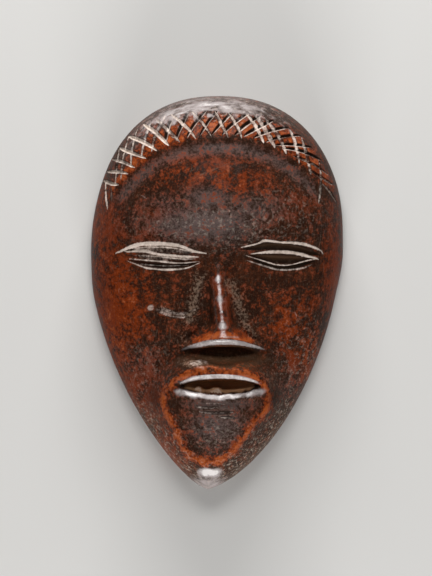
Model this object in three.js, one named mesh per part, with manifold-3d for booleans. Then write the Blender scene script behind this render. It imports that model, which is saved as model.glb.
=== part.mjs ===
// A small face mask carved from one piece of hardwood, lying on its back.
// Millimetres. +X is to the right as one looks at the face, +Y is towards the hair, +Z comes out of the face.
// The rim is flat on z = 0, and the origin is under the middle of the mask.

import * as THREE from 'three';
import Module from 'manifold-3d';

// The mask as a whole
const MASK_HEIGHT = 110; // chin to crown
const MASK_WIDTH = 70.5;
const FACE_DEPTH = 31; // rim plane to the tip of the nose
const EDGE_HEIGHT = 2.6; // the plain edge between the rim plane and the rounded face
const RIM_WIDTH = 6; // the flat rim around the hollow
const FACE_WALL = 5; // the wood left behind the mouth, where the wall is thinnest

// Knife cuts
const HAIR_CUT_WIDTH = 1.2;
const HAIR_CUT_DEPTH = 0.6;
const EYE_CUT_DEPTH = 0.95;
const MOUTH_DEPTH = 6.5;
const SCAR_WIDTH = 1.7;
const SCAR_DEPTH = 0.35;
const CHIN_SCRATCH_WIDTH = 0.7;
const CHIN_SCRATCH_DEPTH = 0.25;
const CUT_LIFT = 0.6; // how far a cutting wedge stands out of the surface

// Fineness of the solid
const FACET_ERROR = 0.21; // the furthest that a facet may lie from the carved form
const SHORTEST_EDGE = 0.95; // a facet edge shorter than this isn't divided again
const HOLLOW_SECTORS = 48;
const HOLLOW_RINGS = [1, 0.93, 0.8, 0.62, 0.4, 0.2];

// The carving is drawn on a pattern of this many units, which is stretched to the mask's sizes.
const PATTERN_WIDTH = 70.5;
const PATTERN_HEIGHT = 110;
const PATTERN_DEPTH = 28.1;
const across = MASK_WIDTH / PATTERN_WIDTH;
const along = MASK_HEIGHT / PATTERN_HEIGHT;
const outward = (FACE_DEPTH - EDGE_HEIGHT) / PATTERN_DEPTH;

const CENTRE_Y = 12.6; // the pattern's polar centre, between the eyes
const WIDEST_Y = 11.5;
const CROWN_SQUARENESS = 2.3;
const CHEEK_FULLNESS = 1.7;
const CHIN_BLUNTNESS = 0.7;
const DOME_HEIGHT = 25.4;
const DOME_ROUNDNESS = 0.476;

const degrees = Math.PI / 180;
const clamp = (value, low, high) => Math.min(high, Math.max(low, value));
const bump = (x, y, reachX, reachY) => Math.exp(-((x / reachX) ** 2) - (y / reachY) ** 2);

function smooth(from, to, value) {
  const s = clamp((value - from) / (to - from), 0, 1);
  return s * s * (3 - 2 * s);
}

// The egg-shaped outline: half its width at a height, and where its middle lies.
function halfWidth(y) {
  const half = PATTERN_WIDTH / 2;
  if (y >= WIDEST_Y) {
    const up = clamp((y - WIDEST_Y) / (PATTERN_HEIGHT / 2 - WIDEST_Y), 0, 1);
    return half * (1 - up ** CROWN_SQUARENESS) ** (1 / CROWN_SQUARENESS);
  }
  const down = clamp((WIDEST_Y - y) / (PATTERN_HEIGHT / 2 + WIDEST_Y), 0, 1);
  return half * (1 - down ** CHEEK_FULLNESS) ** CHIN_BLUNTNESS;
}

function middle(y) {
  const tipLean = 1.8 * clamp((WIDEST_Y - y) / (PATTERN_HEIGHT / 2 + WIDEST_Y), 0, 1) ** 10;
  return 0.6 * smooth(WIDEST_Y, WIDEST_Y + 20, y) - 0.7 * smooth(WIDEST_Y, WIDEST_Y - 14, y) - tipLean;
}

// How far the outline is from the pattern's centre in a direction.
function reach(angle) {
  const [dx, dy] = [Math.cos(angle), Math.sin(angle)];
  let [inside, outside] = [0, PATTERN_HEIGHT];
  for (let step = 0; step < 40; step += 1) {
    const r = (inside + outside) / 2;
    const y = CENTRE_Y + r * dy;
    const within = Math.abs(y) < PATTERN_HEIGHT / 2 && Math.abs(r * dx - middle(y)) < halfWidth(y);
    if (within) inside = r;
    else outside = r;
  }
  return inside;
}

// A place on the pattern from its share of the way to the outline and its direction.
function placeAt(share, angle) {
  const r = share * reach(angle);
  return [r * Math.cos(angle), CENTRE_Y + r * Math.sin(angle)];
}

// The rounded block of the head: full at the chin, round at the crown, sloping at the cheeks.
function roundness(share, angle) {
  const fromChin = Math.abs(Math.atan2(Math.cos(angle), -Math.sin(angle)));
  const fromCrown = Math.PI - fromChin;
  const fullness = 2.3 + 5.7 * Math.exp(-((fromChin / 0.31) ** 2)) + 1.7 * Math.exp(-((fromCrown / 0.8) ** 2));
  return (1 - clamp(share, 0, 1) ** fullness) ** DOME_ROUNDNESS;
}

// The band of hair lies between two shares of the way to the outline.
const bandInner = (turn) => 0.7 + 0.21 * ((turn - 90) / 68) ** 2;
const bandOuter = (turn) => 0.885 + (turn > 85 ? 0.105 : 0.07) * Math.min(1, Math.abs(turn - 85) / 45) ** 1.3;

function hairline(share, angle) {
  const turn = angle / degrees;
  const here = smooth(18, 34, turn) * (1 - smooth(150, 162, turn));
  const inner = bandInner(turn);
  const raised = 0.5 * smooth(inner - 0.03, inner + 0.03, share) * (1 - smooth(0.9, 1, share));
  const valley = 0.55 * Math.exp(-(((share - inner + 0.06) / 0.055) ** 2));
  return here * (raised - valley);
}

// The long thin nose, which flares to its wings and is cut off in an arc below, with a bevel along the cut.
function nose(x, y) {
  const down = clamp((10.5 - y) / 24, 0, 1);
  const flare = clamp((-8.5 - y) / 6.5, 0, 1);
  const half = 2 + 2.2 * down + 8 * flare ** 1.6;
  const aside = Math.min(1, Math.abs(x - 1.8 + 1.5 * clamp((y + 11) / 15, 0, 1)) / half);
  const ridge = 6.2 * down ** 1.15 * (1 - aside ** 2.8) ** 1.6;
  const underside = -12.9 - 2.5 * ((x - 1.8) / 11) ** 2;
  const bevelled = Math.max(0, ridge - 0.9 * clamp(underside - y, 0, 1.4));
  const standing = 1 - smooth(1.3, 2.6, underside - y);
  const crease = 0.5 * bump(Math.abs(x - 0.7) - half - 0.6, 0, 1.3, 1) * smooth(10, 4, y) * smooth(-16, -12, y);
  const recess = 2.4 * bump(x - 2.2, y + 17.6, 8.8, 2.3);
  return bevelled * standing - crease - recess;
}

// The muzzle is bounded by one crest, an arch over the lips that runs down in two ridges to the chin. Its
// distance from the muzzle's middle is given for every twentieth degree, counterclockwise from the right.
const MUZZLE_MIDDLE = [0, -31];
const MUZZLE_REACHES = [
  14.3, 14.4, 12.9, 11.2, 10.2, 10.6, 11.6, 13, 14.5, 15.3, 13.8, 14.1, 16.3, 17, 14.7, 12.2, 11.4, 12,
];

function muzzleShare(x, y) {
  const [dx, dy] = [x - MUZZLE_MIDDLE[0], y - MUZZLE_MIDDLE[1]];
  const count = MUZZLE_REACHES.length;
  const at = ((Math.atan2(dy, dx) / (2 * Math.PI) + 1) % 1) * count;
  const step = Math.floor(at);
  const [before, here, next, after] = [-1, 0, 1, 2].map((k) => MUZZLE_REACHES[(step + k + count) % count]);
  const t = at - step;
  const slope = next - before;
  const curve = 2 * before - 5 * here + 4 * next - after;
  const twist = 3 * here - before - 3 * next + after;
  return Math.hypot(dx, dy) / (here + 0.5 * t * (slope + t * (curve + t * twist)));
}

function muzzle(x, y) {
  const share = muzzleShare(x, y);
  const down = clamp((-28.6 - y) / 20.4, 0, 1);
  const raised = 4.1 * (1 - 0.75 * down ** 1.2) * (1 - smooth(0.96, 1.38, share));
  const crest = 0.45 * Math.exp(-(((share - 1) / 0.075) ** 2));
  const facet = bump(x + 0.8, y + 38, 7.5, 7);
  return (raised + crest) * smooth(-53, -47, y) - facet;
}

// The lips slope in to the mouth in a narrow bevel all round it.
const MOUTH = { x: 0.84, y: -26, halfLength: 10.9, halfOpening: 2.05 };

function lipBevel(x, y) {
  const [a, b] = [(x - MOUTH.x) / MOUTH.halfLength, (y - MOUTH.y) / MOUTH.halfOpening];
  const share = Math.hypot(a, b);
  const steepness = Math.hypot(a / MOUTH.halfLength, b / MOUTH.halfOpening) + 1e-9;
  const distance = (share * (share - 1)) / steepness;
  return -1.35 * (1 - clamp(distance / 1.4, 0, 1));
}

// The height of the face over its edge at a place, in the pattern's units.
function relief(x, y, share, angle) {
  const side = Math.abs(x);
  const faceDrop = 3.2 * smooth(21, 8, y + 0.004 * x * x) * (1 - smooth(20, 34, side));
  const forehead = 0.7 * bump(x, y - 22, 17, 9);
  const cheekHollow = 1.5 * bump(side - 12.5, y + 3, 6.5, 9.5);
  const body = (DOME_HEIGHT + forehead - faceDrop - cheekHollow) * roundness(share, angle);
  return body + hairline(share, angle) + nose(x, y) + muzzle(x, y) + lipBevel(x, y);
}

// A point of the carved face in the mask's own millimetres.
function facePoint(x, y) {
  const angle = Math.atan2(y - CENTRE_Y, x);
  const share = Math.hypot(x, y - CENTRE_Y) / reach(angle);
  return new THREE.Vector3(x * across, y * along, EDGE_HEIGHT + outward * relief(x, y, share, angle));
}

function facePointOnDisk(a, b) {
  const angle = Math.atan2(b, a);
  const share = Math.sin((Math.min(1, Math.hypot(a, b)) * Math.PI) / 2);
  const [x, y] = placeAt(share, angle);
  return new THREE.Vector3(x * across, y * along, EDGE_HEIGHT + outward * relief(x, y, share, angle));
}

// The face is a disk of triangles, divided at their longest edges until each lies close to the form.
class FaceNet {
  constructor(spokes) {
    this.places = [[0, 0]];
    for (let spoke = 0; spoke < spokes; spoke += 1) {
      const angle = (2 * Math.PI * spoke) / spokes;
      this.places.push([Math.cos(angle), Math.sin(angle)]);
    }
    this.points = this.places.map(([a, b]) => facePointOnDisk(a, b));
    this.triangles = new Map();
    this.edges = new Map();
    this.nextTriangle = 0;
    for (let spoke = 1; spoke <= spokes; spoke += 1) this.addTriangle([0, spoke, (spoke % spokes) + 1]);
  }

  static edgeKey(i, j) {
    return i < j ? `${i},${j}` : `${j},${i}`;
  }

  edgesOf([i, j, k]) {
    return [[i, j, k], [j, k, i], [k, i, j]];
  }

  addTriangle(corners) {
    const id = this.nextTriangle;
    this.nextTriangle += 1;
    this.triangles.set(id, corners);
    for (const [i, j] of this.edgesOf(corners)) {
      const key = FaceNet.edgeKey(i, j);
      if (!this.edges.has(key)) this.edges.set(key, new Set());
      this.edges.get(key).add(id);
    }
    return id;
  }

  removeTriangle(id) {
    for (const [i, j] of this.edgesOf(this.triangles.get(id))) {
      this.edges.get(FaceNet.edgeKey(i, j)).delete(id);
    }
    this.triangles.delete(id);
  }

  longestEdge(id) {
    let [best, longest] = [null, -1];
    for (const edge of this.edgesOf(this.triangles.get(id))) {
      const length = this.points[edge[0]].distanceTo(this.points[edge[1]]);
      if (length > longest) [best, longest] = [edge, length];
    }
    return { edge: best, length: longest };
  }

  divide(id, made) {
    while (this.triangles.has(id)) {
      const [i, j] = this.longestEdge(id).edge;
      const sharing = [...this.edges.get(FaceNet.edgeKey(i, j))];
      const other = sharing.find((candidate) => candidate !== id);
      if (other !== undefined) {
        const [p, q] = this.longestEdge(other).edge;
        if (FaceNet.edgeKey(p, q) !== FaceNet.edgeKey(i, j)) {
          this.divide(other, made);
          continue;
        }
      }
      this.halve(i, j, sharing, made);
    }
  }

  halve(i, j, sharing, made) {
    let [a, b] = [0, 1].map((axis) => (this.places[i][axis] + this.places[j][axis]) / 2);
    if (sharing.length === 1) {
      const r = Math.hypot(a, b);
      [a, b] = [a / r, b / r];
    }
    this.places.push([a, b]);
    this.points.push(facePointOnDisk(a, b));
    const fresh = this.places.length - 1;
    for (const id of sharing) {
      const [p, q, far] = this.edgesOf(this.triangles.get(id)).find(
        ([first, second]) => FaceNet.edgeKey(first, second) === FaceNet.edgeKey(i, j),
      );
      this.removeTriangle(id);
      made.push(this.addTriangle([p, fresh, far]), this.addTriangle([fresh, q, far]));
    }
  }

  // The furthest that the form lies from a triangle, at seven places over it.
  error(id) {
    const corners = this.triangles.get(id);
    const [p, q, r] = corners.map((index) => this.points[index]);
    const plane = new THREE.Plane().setFromCoplanarPoints(p, q, r);
    const weights = [
      [1, 1, 1], [1, 1, 0], [0, 1, 1], [1, 0, 1], [4, 1, 1], [1, 4, 1], [1, 1, 4],
    ];
    let furthest = 0;
    for (const weight of weights) {
      const total = weight[0] + weight[1] + weight[2];
      const [a, b] = [0, 1].map((axis) =>
        corners.reduce((sum, index, n) => sum + (this.places[index][axis] * weight[n]) / total, 0),
      );
      furthest = Math.max(furthest, Math.abs(plane.distanceToPoint(facePointOnDisk(a, b))));
    }
    return furthest;
  }

  refine(allowed, shortest) {
    const waiting = [...this.triangles.keys()];
    while (waiting.length > 0) {
      const id = waiting.pop();
      if (!this.triangles.has(id)) continue;
      if (this.longestEdge(id).length <= shortest || this.error(id) <= allowed) continue;
      this.divide(id, waiting);
    }
  }

  // The points on the outline, in order of their direction.
  outline() {
    const rim = this.places.map((place, index) => ({ index, place }))
      .filter(({ place }) => Math.hypot(...place) > 1 - 1e-9);
    const direction = ({ place }) => (Math.atan2(place[1], place[0]) + 2 * Math.PI) % (2 * Math.PI);
    return rim.sort((m, n) => direction(m) - direction(n))
      .map((entry) => ({ index: entry.index, angle: direction(entry) }));
  }
}

// How far the hollow's edge is from the centre in a direction, with the rim's full width outside it.
function hollowReach(angle, edgePoints) {
  let [inside, outside] = [0, reach(angle)];
  for (let step = 0; step < 24; step += 1) {
    const r = (inside + outside) / 2;
    const [x, y] = [r * Math.cos(angle) * across, (CENTRE_Y + r * Math.sin(angle)) * along];
    const wood = Math.min(...edgePoints.map((point) => Math.hypot(point.x - x, point.y - y)));
    if (wood > RIM_WIDTH) inside = r;
    else outside = r;
  }
  return inside;
}

// The hollow is as deep as the mouth leaves it, and its wall is never thinner than FACE_WALL.
const mouthFloor = facePoint(MOUTH.x, MOUTH.y).z - MOUTH_DEPTH;
const hollowDepth = mouthFloor - FACE_WALL;

function hollowPoint(share, angle, far) {
  const r = share * far;
  const depth = hollowDepth * (1 - share ** 2.6) ** 0.6;
  return new THREE.Vector3(r * Math.cos(angle) * across, (CENTRE_Y + r * Math.sin(angle)) * along, depth);
}

// One closed skin: face, edge, flat rim and hollow.
function blankGeometry() {
  const net = new FaceNet(12);
  net.refine(FACET_ERROR, SHORTEST_EDGE);
  const points = [...net.points];
  const faces = [...net.triangles.values()];
  const outline = net.outline();

  const foot = outline.map(({ index }) => {
    points.push(new THREE.Vector3(net.points[index].x, net.points[index].y, 0));
    return points.length - 1;
  });
  outline.forEach(({ index }, n) => {
    const after = (n + 1) % outline.length;
    faces.push([index, foot[n], foot[after]], [index, foot[after], outline[after].index]);
  });

  const edgePoints = foot.map((index) => points[index]);
  const sectors = Array.from({ length: HOLLOW_SECTORS }, (_, n) => (2 * Math.PI * n) / HOLLOW_SECTORS);
  const far = sectors.map((angle) => hollowReach(angle, edgePoints));
  const rings = HOLLOW_RINGS.map((share) =>
    sectors.map((angle, n) => points.push(hollowPoint(share, angle, far[n])) - 1),
  );
  const deepest = points.push(new THREE.Vector3(0, CENTRE_Y * along, hollowDepth)) - 1;

  joinLoops(faces, outline.map((entry, n) => ({ index: foot[n], angle: entry.angle })),
    sectors.map((angle, n) => ({ index: rings[0][n], angle })));
  for (let ring = 1; ring < rings.length; ring += 1) {
    for (let n = 0; n < HOLLOW_SECTORS; n += 1) {
      const after = (n + 1) % HOLLOW_SECTORS;
      const [outer, inner] = [rings[ring - 1], rings[ring]];
      faces.push([outer[n], inner[n], inner[after]], [outer[n], inner[after], outer[after]]);
    }
  }
  const last = rings[rings.length - 1];
  for (let n = 0; n < HOLLOW_SECTORS; n += 1) faces.push([last[n], deepest, last[(n + 1) % HOLLOW_SECTORS]]);
  return { points, faces };
}

// Triangles between two rings of points that start in the same direction, the outer one first.
function joinLoops(faces, outer, inner) {
  let [i, j] = [0, 0];
  while (i < outer.length || j < inner.length) {
    const nextOuter = i < outer.length ? (outer[i + 1]?.angle ?? 2 * Math.PI) : Infinity;
    const nextInner = j < inner.length ? (inner[j + 1]?.angle ?? 2 * Math.PI) : Infinity;
    const [a, b] = [outer[i % outer.length].index, inner[j % inner.length].index];
    if (nextOuter <= nextInner) {
      faces.push([a, b, outer[(i + 1) % outer.length].index]);
      i += 1;
    } else {
      faces.push([a, b, inner[(j + 1) % inner.length].index]);
      j += 1;
    }
  }
}

const wasm = await Module();
wasm.setup();

function solidFrom({ points, faces }) {
  const vertProperties = new Float32Array(points.flatMap((point) => [point.x, point.y, point.z]));
  const triVerts = new Uint32Array(faces.flat());
  return new wasm.Manifold(new wasm.Mesh({ numProp: 3, vertProperties, triVerts }));
}

// The way out of the surface at a place on the pattern.
function faceNormal(x, y) {
  const step = 0.4;
  const east = facePoint(x + step, y).sub(facePoint(x - step, y));
  const north = facePoint(x, y + step).sub(facePoint(x, y - step));
  return east.cross(north).normalize();
}

// A wedge along a path on the face. Its width and depth taper to its ends, and floor is the share of
// its width that is flat at the bottom.
function knifeCut(path, width, depth, { floor = 0, taper = 0.5 } = {}) {
  const last = path.length - 1;
  const places = path.map(([x, y]) => facePoint(x, y));
  const points = [];
  path.forEach(([x, y], n) => {
    const forward = places[Math.min(n + 1, last)].clone().sub(places[Math.max(n - 1, 0)]).normalize();
    const up = faceNormal(x, y);
    const aside = new THREE.Vector3().crossVectors(up, forward).normalize();
    const fade = Math.max(0.12, (1 - Math.abs((2 * n) / last - 1) ** 2.5) ** taper);
    const [half, deep] = [(width / 2) * fade, depth * fade];
    const spread = half * (1 + (CUT_LIFT / deep) * (1 - floor));
    const bottom = Math.max(half * floor, 0.02);
    const corner = (sideways, height) =>
      points.push(places[n].clone().addScaledVector(aside, sideways).addScaledVector(up, height));
    corner(-spread, CUT_LIFT);
    corner(-bottom, -deep);
    corner(bottom, -deep);
    corner(spread, CUT_LIFT);
  });
  const faces = [[0, 2, 1], [0, 3, 2]];
  for (let n = 0; n < last; n += 1) {
    for (let side = 0; side < 4; side += 1) {
      const [a, b] = [4 * n + side, 4 * n + ((side + 1) % 4)];
      faces.push([a, b, b + 4], [a, b + 4, a + 4]);
    }
  }
  const end = 4 * last;
  faces.push([end, end + 1, end + 2], [end, end + 2, end + 3]);
  return solidFrom({ points, faces });
}

const stepsAlong = (count) => Array.from({ length: count + 1 }, (_, n) => n / count);

// A smooth path through a few places on the pattern.
function pathThrough(places, count) {
  const corners = places.map(([x, y]) => new THREE.Vector3(x, y, 0));
  const curve = new THREE.CatmullRomCurve3(corners, false, 'catmullrom', 0.5);
  return curve.getPoints(count).map(({ x, y }) => [x, y]);
}

// Cross-hatching of the hair, as directions in degrees at the two ends of each cut. Cuts across the band
// start at its outer edge, and cuts along it start at its inner edge and climb over it.
const CUTS_ACROSS_HAIR = [
  [149.5, 147.5], [145, 141], [140.4, 135.6], [134.5, 128.6], [128.1, 122.4], [121.3, 115], [115.5, 109.5],
  [108.7, 101.6], [101.5, 92.3], [90.9, 84.2], [84.8, 77.7], [78.1, 65.3], [73.9, 59.7], [69.5, 53.8],
  [59.1, 45.3], [52.4, 37.6],
];
const CUTS_ALONG_HAIR = [
  [30.5, 21.3], [40.2, 28.5], [50.7, 32.6], [56, 40.4], [60.5, 46.5], [65.5, 52.6], [71, 59.5], [76.5, 66],
  [81.5, 71], [87, 77], [93, 83.5], [99.2, 89], [105, 94.6], [111.5, 101.6], [117.5, 107], [124, 111.5],
  [131, 117], [138, 123], [144.5, 128], [149, 134],
];
// Cuts that leave the band: turn and share at the start, then at the end.
const CUTS_BELOW_HAIR = [[149.5, 0.975, 161, 0.9], [150, 0.92, 157, 0.885], [41.5, 0.95, 23, 0.82]];

function hairCuts() {
  const stroke = (fromTurn, fromShare, toTurn, toShare, number) => {
    const path = stepsAlong(4).map((s) => {
      const sway = 0.5 * Math.sin(2.1 * number + 3 * s);
      const turn = fromTurn + (toTurn - fromTurn) * s + sway;
      return placeAt(fromShare + (toShare - fromShare) * s, turn * degrees);
    });
    const vary = 1 + 0.15 * Math.sin(5.3 * number);
    return knifeCut(path, HAIR_CUT_WIDTH * vary, HAIR_CUT_DEPTH * vary);
  };
  const across = CUTS_ACROSS_HAIR.map(([outer, inner], n) =>
    stroke(outer, bandOuter(outer), inner, bandInner(inner) + 0.015, n));
  const alongBand = CUTS_ALONG_HAIR.map(([inner, outer], n) =>
    stroke(inner, bandInner(inner) + 0.03, outer, bandOuter(outer) + 0.005, n + 0.5));
  return [...across, ...alongBand, ...CUTS_BELOW_HAIR.map((ends, n) => stroke(...ends, n))];
}

// Each eye is three long lens-shaped cuts side by side, with thin ridges left between them.
const EYE_CUTS = [
  { width: 2.5, depth: 0.85, places: [[-27.2, 11.3], [-21.5, 12.2], [-15.5, 12.2], [-9.5, 11.5], [-3.8, 10.3]] },
  { width: 2.1, depth: 0.7, places: [[-26, 10.4], [-18.4, 9.9], [-10.7, 9], [-4.6, 9.3]] },
  { width: 2, depth: 1, places: [[-24.4, 9], [-18.5, 7.8], [-12.5, 7.3], [-5.4, 8.2]] },
  { width: 2.6, depth: 0.95, places: [[6.6, 11.9], [14.2, 12.9], [21.5, 12.5], [28.8, 10.3]] },
  { width: 3, depth: 0.85, places: [[9, 10.4], [17.3, 9.4], [26.5, 9.5]] },
  { width: 1.5, depth: 0.8, places: [[9.4, 9.3], [16.2, 7.1], [20.2, 7], [27.4, 8.8]] },
];

function eyeCuts() {
  return EYE_CUTS.map(({ width, depth, places }) =>
    knifeCut(pathThrough(places, 8), width * along, EYE_CUT_DEPTH * depth, { taper: 0.9 }));
}

function mouthCut() {
  const path = stepsAlong(10).map((s) => [MOUTH.x + MOUTH.halfLength * (2 * s - 1), MOUTH.y]);
  return knifeCut(path, 2 * MOUTH.halfOpening * along, MOUTH_DEPTH, { floor: 0.55, taper: 0.7 });
}

// A shallow scar on one cheek, and a few scratches below the lips.
const SCAR = [[-17, -4.6], [-13.9, -5.6], [-9.8, -5.9], [-6.8, -5.2]];
const CHIN_SCRATCHES = [[[-6, -31.7], [-0.3, -31.9]], [[-4.8, -33], [4.2, -33.1]], [[0.7, -34.5], [4.8, -34.6]]];

function scarCuts() {
  const scratches = CHIN_SCRATCHES.map((ends) =>
    knifeCut(pathThrough(ends, 4), CHIN_SCRATCH_WIDTH, CHIN_SCRATCH_DEPTH));
  return [knifeCut(pathThrough(SCAR, 5), SCAR_WIDTH, SCAR_DEPTH), ...scratches];
}

function maskGeometry() {
  let solid = solidFrom(blankGeometry());
  for (const cut of [...hairCuts(), ...eyeCuts(), mouthCut(), ...scarCuts()]) solid = solid.subtract(cut);
  const mesh = solid.getMesh();
  const geometry = new THREE.BufferGeometry();
  geometry.setAttribute('position', new THREE.BufferAttribute(mesh.vertProperties, mesh.numProp));
  geometry.setIndex(new THREE.BufferAttribute(mesh.triVerts, 1));
  geometry.computeVertexNormals();
  return geometry;
}

const patinatedWood = new THREE.MeshStandardMaterial({ color: 0x4a2216, roughness: 0.4, metalness: 0 });
const mask = new THREE.Mesh(maskGeometry(), patinatedWood);
mask.name = 'mask';

const group = new THREE.Group();
group.add(mask);

export default group;
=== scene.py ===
# %% [markdown]
# A small carved face mask, as a Blender lesson.
# The real object is one piece of hardwood. A knife shaped the face, cross-hatched the hair and opened the
# eyes and the mouth with long cuts. Years of handling gave it a dark glossy patina, worn to red-orange on
# the high edges, and pale dust sits in the cuts. The mask lies on its back, because nothing holds it up.
# This script builds one fine mesh of it around the solid model, then its finish, and then a plain studio.

import bpy
import numpy as np
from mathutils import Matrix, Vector


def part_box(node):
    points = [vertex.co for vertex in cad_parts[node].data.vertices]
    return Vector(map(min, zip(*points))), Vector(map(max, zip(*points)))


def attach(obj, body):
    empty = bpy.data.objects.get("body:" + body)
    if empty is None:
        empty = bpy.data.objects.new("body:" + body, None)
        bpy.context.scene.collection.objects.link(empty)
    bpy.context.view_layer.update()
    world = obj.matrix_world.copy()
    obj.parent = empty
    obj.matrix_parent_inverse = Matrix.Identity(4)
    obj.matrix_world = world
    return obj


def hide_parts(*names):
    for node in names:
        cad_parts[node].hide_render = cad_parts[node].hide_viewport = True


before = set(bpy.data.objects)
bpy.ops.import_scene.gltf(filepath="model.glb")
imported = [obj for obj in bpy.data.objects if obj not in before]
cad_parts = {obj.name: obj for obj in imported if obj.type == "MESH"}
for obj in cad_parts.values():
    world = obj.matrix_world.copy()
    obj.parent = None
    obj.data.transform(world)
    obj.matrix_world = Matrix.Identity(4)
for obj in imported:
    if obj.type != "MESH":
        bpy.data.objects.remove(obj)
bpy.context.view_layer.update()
low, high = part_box("mask")
MM = 0.001
mask_width, mask_height, mask_depth = [(high[i] - low[i]) / MM for i in range(3)]
print(f"solid mask: {mask_width:.1f} x {mask_height:.1f} x {mask_depth:.1f} mm")

# %% [markdown]
# The carving is drawn on a pattern of 70.5 by 110 units, and 28.1 units of relief stand over the mask's
# plain edge. Stretching the pattern to the solid's own box keeps the fine mesh and the solid in one form.
# A place on the pattern is a share of the way from the middle of the face to the outline, in a direction.

# %% The pattern and the egg-shaped outline
PATTERN_WIDTH, PATTERN_HEIGHT, PATTERN_DEPTH = 70.5, 110.0, 28.1
EDGE_HEIGHT = 2.6
NOSE_TIP_ON_SOLID = 30.937 / 31.0
across = mask_width / PATTERN_WIDTH
along = mask_height / PATTERN_HEIGHT
outward = (mask_depth / NOSE_TIP_ON_SOLID - EDGE_HEIGHT) / PATTERN_DEPTH
CENTRE_Y, WIDEST_Y = 12.6, 11.5
CROWN_SQUARENESS, CHEEK_FULLNESS, CHIN_BLUNTNESS = 2.3, 1.7, 0.7
DOME_HEIGHT, DOME_ROUNDNESS = 25.4, 0.476
dice = np.random.default_rng(7)


def smooth(start, end, value):
    s = np.clip((value - start) / (end - start), 0, 1)
    return s * s * (3 - 2 * s)


def bump(x, y, reach_x, reach_y):
    return np.exp(-((x / reach_x) ** 2) - (y / reach_y) ** 2)


def half_width(y):
    half = PATTERN_WIDTH / 2
    up = np.clip((y - WIDEST_Y) / (PATTERN_HEIGHT / 2 - WIDEST_Y), 0, 1)
    down = np.clip((WIDEST_Y - y) / (PATTERN_HEIGHT / 2 + WIDEST_Y), 0, 1)
    crown = (1 - up**CROWN_SQUARENESS) ** (1 / CROWN_SQUARENESS)
    return half * np.where(y >= WIDEST_Y, crown, (1 - down**CHEEK_FULLNESS) ** CHIN_BLUNTNESS)


def middle(y):
    down = np.clip((WIDEST_Y - y) / (PATTERN_HEIGHT / 2 + WIDEST_Y), 0, 1)
    lean = 0.6 * smooth(WIDEST_Y, WIDEST_Y + 20, y) - 0.7 * smooth(WIDEST_Y, WIDEST_Y - 14, y)
    return lean - 1.8 * down**10


def find_reach(angle):
    inside, outside = np.zeros_like(angle), np.full_like(angle, PATTERN_HEIGHT)
    for _ in range(40):
        r = (inside + outside) / 2
        y = CENTRE_Y + r * np.sin(angle)
        within = (np.abs(y) < PATTERN_HEIGHT / 2) & (np.abs(r * np.cos(angle) - middle(y)) < half_width(y))
        inside, outside = np.where(within, r, inside), np.where(within, outside, r)
    return inside


TABLE_ANGLES = np.linspace(-np.pi, np.pi, 4001)
TABLE_REACHES = find_reach(TABLE_ANGLES)


def reach(angle):
    return np.interp(np.mod(angle + np.pi, 2 * np.pi) - np.pi, TABLE_ANGLES, TABLE_REACHES)


def place_at(share, angle):
    r = share * reach(angle)
    return r * np.cos(angle), CENTRE_Y + r * np.sin(angle)


# %% [markdown]
# The face is a height over the rim plane. Each feature is a short function that adds or takes away some
# height: a rounded block, a band of hair over a shallow valley, a nose that flares and is cut off in an
# arc, a muzzle bounded by one crest that runs down to the chin, and the slope of the lips to the mouth.

# %% The head, the hairline and the nose
def roundness(share, angle):
    from_chin = np.abs(np.arctan2(np.cos(angle), -np.sin(angle)))
    chin = 5.7 * np.exp(-((from_chin / 0.31) ** 2))
    crown = 1.7 * np.exp(-(((np.pi - from_chin) / 0.8) ** 2))
    return (1 - np.clip(share, 0, 1) ** (2.3 + chin + crown)) ** DOME_ROUNDNESS


def band_inner(turn):
    return 0.7 + 0.21 * ((turn - 90) / 68) ** 2


def band_outer(turn):
    widening = np.where(turn > 85, 0.105, 0.07)
    return 0.885 + widening * np.minimum(1, np.abs(turn - 85) / 45) ** 1.3


def band_here(turn):
    return smooth(18, 34, turn) * (1 - smooth(150, 162, turn))


def valley(share, turn):
    return np.exp(-(((share - band_inner(turn) + 0.06) / 0.055) ** 2))


def hairline(share, angle):
    turn = np.degrees(angle)
    inner = band_inner(turn)
    raised = 0.5 * smooth(inner - 0.03, inner + 0.03, share) * (1 - smooth(0.9, 1, share))
    return band_here(turn) * (raised - 0.55 * valley(share, turn))


def nose_half_width(y):
    flare = np.clip((-8.5 - y) / 6.5, 0, 1)
    return 2 + 2.2 * np.clip((10.5 - y) / 24, 0, 1) + 8 * flare**1.6


def nose_middle(y):
    return 1.8 - 1.5 * np.clip((y + 11) / 15, 0, 1)


def nose_underside(x):
    return -12.9 - 2.5 * ((x - 1.8) / 11) ** 2


def nose(x, y):
    half = nose_half_width(y)
    aside = np.minimum(1, np.abs(x - nose_middle(y)) / half)
    ridge = 6.2 * np.clip((10.5 - y) / 24, 0, 1) ** 1.15 * (1 - aside**2.8) ** 1.6
    below = nose_underside(x) - y
    bevelled = np.maximum(0, ridge - 0.9 * np.clip(below, 0, 1.4))
    crease = 0.5 * bump(np.abs(x - 0.7) - half - 0.6, 0, 1.3, 1) * smooth(10, 4, y) * smooth(-16, -12, y)
    recess = 2.4 * bump(x - 2.2, y + 17.6, 8.8, 2.3)
    return bevelled * (1 - smooth(1.3, 2.6, below)) - crease - recess


# %% The muzzle and the lips
MUZZLE_X, MUZZLE_Y = 0, -31
MUZZLE_REACHES = np.array([
    14.3, 14.4, 12.9, 11.2, 10.2, 10.6, 11.6, 13, 14.5, 15.3, 13.8, 14.1, 16.3, 17, 14.7, 12.2, 11.4, 12,
])
MOUTH_X, MOUTH_Y, MOUTH_HALF_LENGTH, MOUTH_HALF_OPENING = 0.84, -26.0, 10.9, 2.05
LIP_BEVEL = 1.4


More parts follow.
